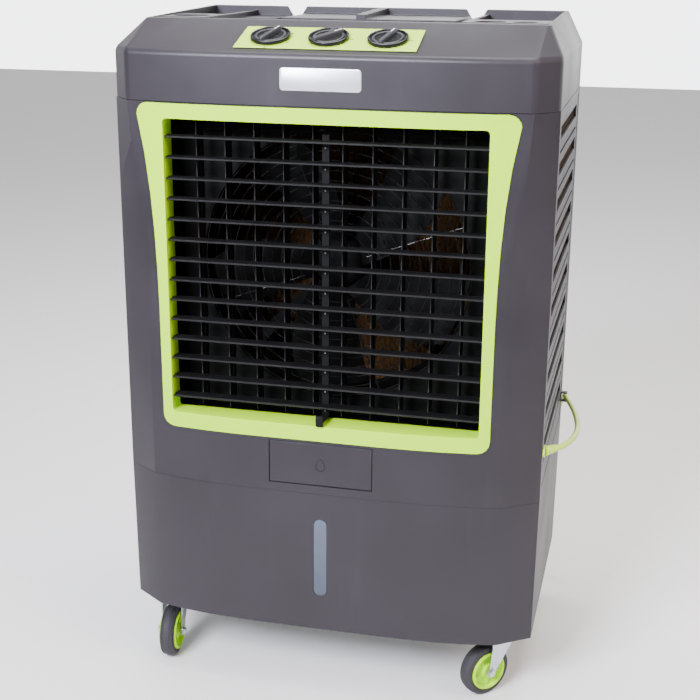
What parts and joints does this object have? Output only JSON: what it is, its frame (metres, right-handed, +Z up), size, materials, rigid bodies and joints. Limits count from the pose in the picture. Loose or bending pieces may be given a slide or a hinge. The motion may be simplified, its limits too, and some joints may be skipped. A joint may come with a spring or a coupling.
{
  "type": "evaporative cooler",
  "caption": "Upright portable evaporative cooler: water tank on casters, housing with pads on three sides, louvred front outlet with fan, sloping control panel, top tray.",
  "frame": {"origin": "on the floor, under the middle of the body", "axes": "+Z up, -Y the way the louvred front faces, +X to the right seen from the front"},
  "size_m": [0.6322, 0.538, 0.94],
  "materials": {
    "charcoal": "injection-moulded polypropylene, fine spark-eroded texture, dark warm grey",
    "lime": "injection-moulded ABS, satin, yellow-green",
    "black": "moulded black polypropylene",
    "knob_grey": "moulded ABS knob, dark grey",
    "window": "translucent blue-grey water level window",
    "pad": "rigid corrugated cellulose evaporative pad, brown",
    "fan": "glass-filled polypropylene axial fan",
    "steel": "pressed steel, bright zinc plated",
    "motor": "painted motor can",
    "tyre": "grey-black thermoplastic rubber tyre on a plastic hub",
    "hose": "flexible PVC water hose",
    "float": "white foam float on a rod",
    "cord": "PVC-jacketed round mains lead, light yellow-green"
  },
  "bodies": {
    "cooler": {"water_tank": "charcoal", "main_housing": "charcoal", "top_hood": "charcoal", "front_bezel": "lime", "control_panel": "lime", "level_window": "window", "left_pad_frame": "charcoal", "right_pad_frame": "charcoal", "rear_pad_frame": "charcoal", "left_cooling_pad": "pad", "right_cooling_pad": "pad", "rear_cooling_pad": "pad", "fan_shroud": "black", "fan_motor": "motor", "pump": "black", "water_line": "hose", "cord_gland": "black", "mains_cord": "cord", "cord_coil": "cord", "mains_plug": "black"},
    "fan": {"fan_rotor": "fan"},
    "float": {"float_arm": "float"},
    "fill_door": {"fill_door": "charcoal"},
    "louvre_link": {"louvre_link": "black"},
    "vane_link": {"vane_link": "black"},
    "knob_fan_speed": {"knob_fan_speed": "knob_grey"},
    "knob_pump": {"knob_pump": "knob_grey"},
    "knob_swing": {"knob_swing": "knob_grey"},
    "louvre_blade_01": {"louvre_blade_01": "black"},
    "louvre_blade_02": {"louvre_blade_02": "black"},
    "louvre_blade_03": {"louvre_blade_03": "black"},
    "louvre_blade_04": {"louvre_blade_04": "black"},
    "louvre_blade_05": {"louvre_blade_05": "black"},
    "louvre_blade_06": {"louvre_blade_06": "black"},
    "louvre_blade_07": {"louvre_blade_07": "black"},
    "louvre_blade_08": {"louvre_blade_08": "black"},
    "louvre_blade_09": {"louvre_blade_09": "black"},
    "louvre_blade_10": {"louvre_blade_10": "black"},
    "louvre_blade_11": {"louvre_blade_11": "black"},
    "louvre_blade_12": {"louvre_blade_12": "black"},
    "louvre_blade_13": {"louvre_blade_13": "black"},
    "louvre_blade_14": {"louvre_blade_14": "black"},
    "swing_vane_01": {"swing_vane_01": "black"},
    "swing_vane_02": {"swing_vane_02": "black"},
    "swing_vane_03": {"swing_vane_03": "black"},
    "swing_vane_04": {"swing_vane_04": "black"},
    "swing_vane_05": {"swing_vane_05": "black"},
    "swing_vane_06": {"swing_vane_06": "black"},
    "swing_vane_07": {"swing_vane_07": "black"},
    "swing_vane_08": {"swing_vane_08": "black"},
    "swing_vane_09": {"swing_vane_09": "black"},
    "swing_vane_10": {"swing_vane_10": "black"},
    "front_left_caster": {"front_left_caster_fork": "steel"},
    "front_left_wheel": {"front_left_caster_wheel": "tyre"},
    "front_right_caster": {"front_right_caster_fork": "steel"},
    "front_right_wheel": {"front_right_caster_wheel": "tyre"},
    "rear_left_caster": {"rear_left_caster_fork": "steel"},
    "rear_left_wheel": {"rear_left_caster_wheel": "tyre"},
    "rear_right_caster": {"rear_right_caster_fork": "steel"},
    "rear_right_wheel": {"rear_right_caster_wheel": "tyre"}
  },
  "joints": [
    {"name": "fan_spin", "type": "hinge", "parent": "cooler", "child": "fan", "pos_m": [0, -0.078, 0.61], "axis": [0, 1, 0], "continuous": true},
    {"name": "float_swing", "type": "hinge", "parent": "cooler", "child": "float", "pos_m": [-0.19, 0.168, 0.275], "axis": [1, 0, 0], "range_deg": [-10, 35]},
    {"name": "fill_door_tilt", "type": "hinge", "parent": "cooler", "child": "fill_door", "pos_m": [0, -0.191, 0.3224], "axis": [1, 0, 0], "range_deg": [0, 50]},
    {"name": "louvre_link_slide", "type": "slide", "parent": "cooler", "child": "louvre_link", "axis": [0, 0, 1], "range_m": [-0.0048, 0.0048]},
    {"name": "vane_link_slide", "type": "slide", "parent": "cooler", "child": "vane_link", "axis": [1, 0, 0], "range_m": [-0.0054, 0.0054]},
    {"name": "louvre_blade_01_tilt", "type": "hinge", "parent": "cooler", "child": "louvre_blade_01", "pos_m": [0, -0.1705, 0.787], "axis": [1, 0, 0], "range_deg": [-35, 35]},
    {"name": "louvre_blade_02_tilt", "type": "hinge", "parent": "cooler", "child": "louvre_blade_02", "pos_m": [0, -0.1705, 0.75948], "axis": [1, 0, 0], "range_deg": [-35, 35]},
    {"name": "louvre_blade_03_tilt", "type": "hinge", "parent": "cooler", "child": "louvre_blade_03", "pos_m": [0, -0.1705, 0.73196], "axis": [1, 0, 0], "range_deg": [-35, 35]},
    {"name": "louvre_blade_04_tilt", "type": "hinge", "parent": "cooler", "child": "louvre_blade_04", "pos_m": [0, -0.1705, 0.70444], "axis": [1, 0, 0], "range_deg": [-35, 35]},
    {"name": "louvre_blade_05_tilt", "type": "hinge", "parent": "cooler", "child": "louvre_blade_05", "pos_m": [0, -0.1705, 0.67692], "axis": [1, 0, 0], "range_deg": [-35, 35]},
    {"name": "louvre_blade_06_tilt", "type": "hinge", "parent": "cooler", "child": "louvre_blade_06", "pos_m": [0, -0.1705, 0.6494], "axis": [1, 0, 0], "range_deg": [-35, 35]},
    {"name": "louvre_blade_07_tilt", "type": "hinge", "parent": "cooler", "child": "louvre_blade_07", "pos_m": [0, -0.1705, 0.62188], "axis": [1, 0, 0], "range_deg": [-35, 35]},
    {"name": "louvre_blade_08_tilt", "type": "hinge", "parent": "cooler", "child": "louvre_blade_08", "pos_m": [0, -0.1705, 0.59436], "axis": [1, 0, 0], "range_deg": [-35, 35]},
    {"name": "louvre_blade_09_tilt", "type": "hinge", "parent": "cooler", "child": "louvre_blade_09", "pos_m": [0, -0.1705, 0.56684], "axis": [1, 0, 0], "range_deg": [-35, 35]},
    {"name": "louvre_blade_10_tilt", "type": "hinge", "parent": "cooler", "child": "louvre_blade_10", "pos_m": [0, -0.1705, 0.53932], "axis": [1, 0, 0], "range_deg": [-35, 35]},
    {"name": "louvre_blade_11_tilt", "type": "hinge", "parent": "cooler", "child": "louvre_blade_11", "pos_m": [0, -0.1705, 0.5118], "axis": [1, 0, 0], "range_deg": [-35, 35]},
    {"name": "louvre_blade_12_tilt", "type": "hinge", "parent": "cooler", "child": "louvre_blade_12", "pos_m": [0, -0.1705, 0.48428], "axis": [1, 0, 0], "range_deg": [-35, 35]},
    {"name": "louvre_blade_13_tilt", "type": "hinge", "parent": "cooler", "child": "louvre_blade_13", "pos_m": [0, -0.1705, 0.45676], "axis": [1, 0, 0], "range_deg": [-35, 35]},
    {"name": "louvre_blade_14_tilt", "type": "hinge", "parent": "cooler", "child": "louvre_blade_14", "pos_m": [0, -0.1705, 0.42924], "axis": [1, 0, 0], "range_deg": [-35, 35]},
    {"name": "swing_vane_01_turn", "type": "hinge", "parent": "cooler", "child": "swing_vane_01", "pos_m": [-0.18, -0.14, 0.61], "axis": [0, 0, 1], "range_deg": [-35, 35]},
    {"name": "swing_vane_02_turn", "type": "hinge", "parent": "cooler", "child": "swing_vane_02", "pos_m": [-0.14, -0.14, 0.61], "axis": [0, 0, 1], "range_deg": [-35, 35]},
    {"name": "swing_vane_03_turn", "type": "hinge", "parent": "cooler", "child": "swing_vane_03", "pos_m": [-0.1, -0.14, 0.61], "axis": [0, 0, 1], "range_deg": [-35, 35]},
    {"name": "swing_vane_04_turn", "type": "hinge", "parent": "cooler", "child": "swing_vane_04", "pos_m": [-0.06, -0.14, 0.61], "axis": [0, 0, 1], "range_deg": [-35, 35]},
    {"name": "swing_vane_05_turn", "type": "hinge", "parent": "cooler", "child": "swing_vane_05", "pos_m": [-0.02, -0.14, 0.61], "axis": [0, 0, 1], "range_deg": [-35, 35]},
    {"name": "swing_vane_06_turn", "type": "hinge", "parent": "cooler", "child": "swing_vane_06", "pos_m": [0.02, -0.14, 0.61], "axis": [0, 0, 1], "range_deg": [-35, 35]},
    {"name": "swing_vane_07_turn", "type": "hinge", "parent": "cooler", "child": "swing_vane_07", "pos_m": [0.06, -0.14, 0.61], "axis": [0, 0, 1], "range_deg": [-35, 35]},
    {"name": "swing_vane_08_turn", "type": "hinge", "parent": "cooler", "child": "swing_vane_08", "pos_m": [0.1, -0.14, 0.61], "axis": [0, 0, 1], "range_deg": [-35, 35]},
    {"name": "swing_vane_09_turn", "type": "hinge", "parent": "cooler", "child": "swing_vane_09", "pos_m": [0.14, -0.14, 0.61], "axis": [0, 0, 1], "range_deg": [-35, 35]},
    {"name": "swing_vane_10_turn", "type": "hinge", "parent": "cooler", "child": "swing_vane_10", "pos_m": [0.18, -0.14, 0.61], "axis": [0, 0, 1], "range_deg": [-35, 35]},
    {"name": "knob_fan_speed_turn", "type": "hinge", "parent": "cooler", "child": "knob_fan_speed", "pos_m": [-0.0765, -0.14984, 0.91438], "axis": [0, -0.3285, 0.9445], "range_deg": [-159, 21]},
    {"name": "knob_pump_turn", "type": "hinge", "parent": "cooler", "child": "knob_pump", "pos_m": [0, -0.14984, 0.91438], "axis": [0, -0.3285, 0.9445], "range_deg": [-44, 46]},
    {"name": "knob_swing_turn", "type": "hinge", "parent": "cooler", "child": "knob_swing", "pos_m": [0.0765, -0.14984, 0.91438], "axis": [0, -0.3285, 0.9445], "range_deg": [-75, 15]},
    {"name": "front_left_swivel", "type": "hinge", "parent": "cooler", "child": "front_left_caster", "pos_m": [-0.2475, -0.113, 0.0977], "axis": [0, 0, 1], "continuous": true},
    {"name": "front_left_roll", "type": "hinge", "parent": "front_left_caster", "child": "front_left_wheel", "pos_m": [-0.24506, -0.14089, 0.038], "axis": [0.9962, 0.0872, 0], "continuous": true},
    {"name": "front_right_swivel", "type": "hinge", "parent": "cooler", "child": "front_right_caster", "pos_m": [0.2475, -0.113, 0.0977], "axis": [0, 0, 1], "continuous": true},
    {"name": "front_right_roll", "type": "hinge", "parent": "front_right_caster", "child": "front_right_wheel", "pos_m": [0.22805, -0.13314, 0.038], "axis": [0.7193, -0.6947, 0], "continuous": true},
    {"name": "rear_left_swivel", "type": "hinge", "parent": "cooler", "child": "rear_left_caster", "pos_m": [-0.2475, 0.128, 0.0977], "axis": [0, 0, 1], "continuous": true},
    {"name": "rear_left_roll", "type": "hinge", "parent": "rear_left_caster", "child": "rear_left_wheel", "pos_m": [-0.23567, 0.10262, 0.038], "axis": [0.9063, 0.4226, 0], "continuous": true},
    {"name": "rear_right_swivel", "type": "hinge", "parent": "cooler", "child": "rear_right_caster", "pos_m": [0.2475, 0.128, 0.0977], "axis": [0, 0, 1], "continuous": true},
    {"name": "rear_right_roll", "type": "hinge", "parent": "rear_right_caster", "child": "rear_right_wheel", "pos_m": [0.23885, 0.10137, 0.038], "axis": [0.9511, -0.309, 0], "continuous": true}
  ],
  "couplings": [
    {"joint": "louvre_blade_01_tilt", "follows": "louvre_link_slide", "rad_per_m": 125},
    {"joint": "louvre_blade_02_tilt", "follows": "louvre_link_slide", "rad_per_m": 125},
    {"joint": "louvre_blade_03_tilt", "follows": "louvre_link_slide", "rad_per_m": 125},
    {"joint": "louvre_blade_04_tilt", "follows": "louvre_link_slide", "rad_per_m": 125},
    {"joint": "louvre_blade_05_tilt", "follows": "louvre_link_slide", "rad_per_m": 125},
    {"joint": "louvre_blade_06_tilt", "follows": "louvre_link_slide", "rad_per_m": 125},
    {"joint": "louvre_blade_07_tilt", "follows": "louvre_link_slide", "rad_per_m": 125},
    {"joint": "louvre_blade_08_tilt", "follows": "louvre_link_slide", "rad_per_m": 125},
    {"joint": "louvre_blade_09_tilt", "follows": "louvre_link_slide", "rad_per_m": 125},
    {"joint": "louvre_blade_10_tilt", "follows": "louvre_link_slide", "rad_per_m": 125},
    {"joint": "louvre_blade_11_tilt", "follows": "louvre_link_slide", "rad_per_m": 125},
    {"joint": "louvre_blade_12_tilt", "follows": "louvre_link_slide", "rad_per_m": 125},
    {"joint": "louvre_blade_13_tilt", "follows": "louvre_link_slide", "rad_per_m": 125},
    {"joint": "louvre_blade_14_tilt", "follows": "louvre_link_slide", "rad_per_m": 125},
    {"joint": "swing_vane_01_turn", "follows": "vane_link_slide", "rad_per_m": -105.26},
    {"joint": "swing_vane_02_turn", "follows": "vane_link_slide", "rad_per_m": -105.26},
    {"joint": "swing_vane_03_turn", "follows": "vane_link_slide", "rad_per_m": -105.26},
    {"joint": "swing_vane_04_turn", "follows": "vane_link_slide", "rad_per_m": -105.26},
    {"joint": "swing_vane_05_turn", "follows": "vane_link_slide", "rad_per_m": -105.26},
    {"joint": "swing_vane_06_turn", "follows": "vane_link_slide", "rad_per_m": -105.26},
    {"joint": "swing_vane_07_turn", "follows": "vane_link_slide", "rad_per_m": -105.26},
    {"joint": "swing_vane_08_turn", "follows": "vane_link_slide", "rad_per_m": -105.26},
    {"joint": "swing_vane_09_turn", "follows": "vane_link_slide", "rad_per_m": -105.26},
    {"joint": "swing_vane_10_turn", "follows": "vane_link_slide", "rad_per_m": -105.26}
  ]
}
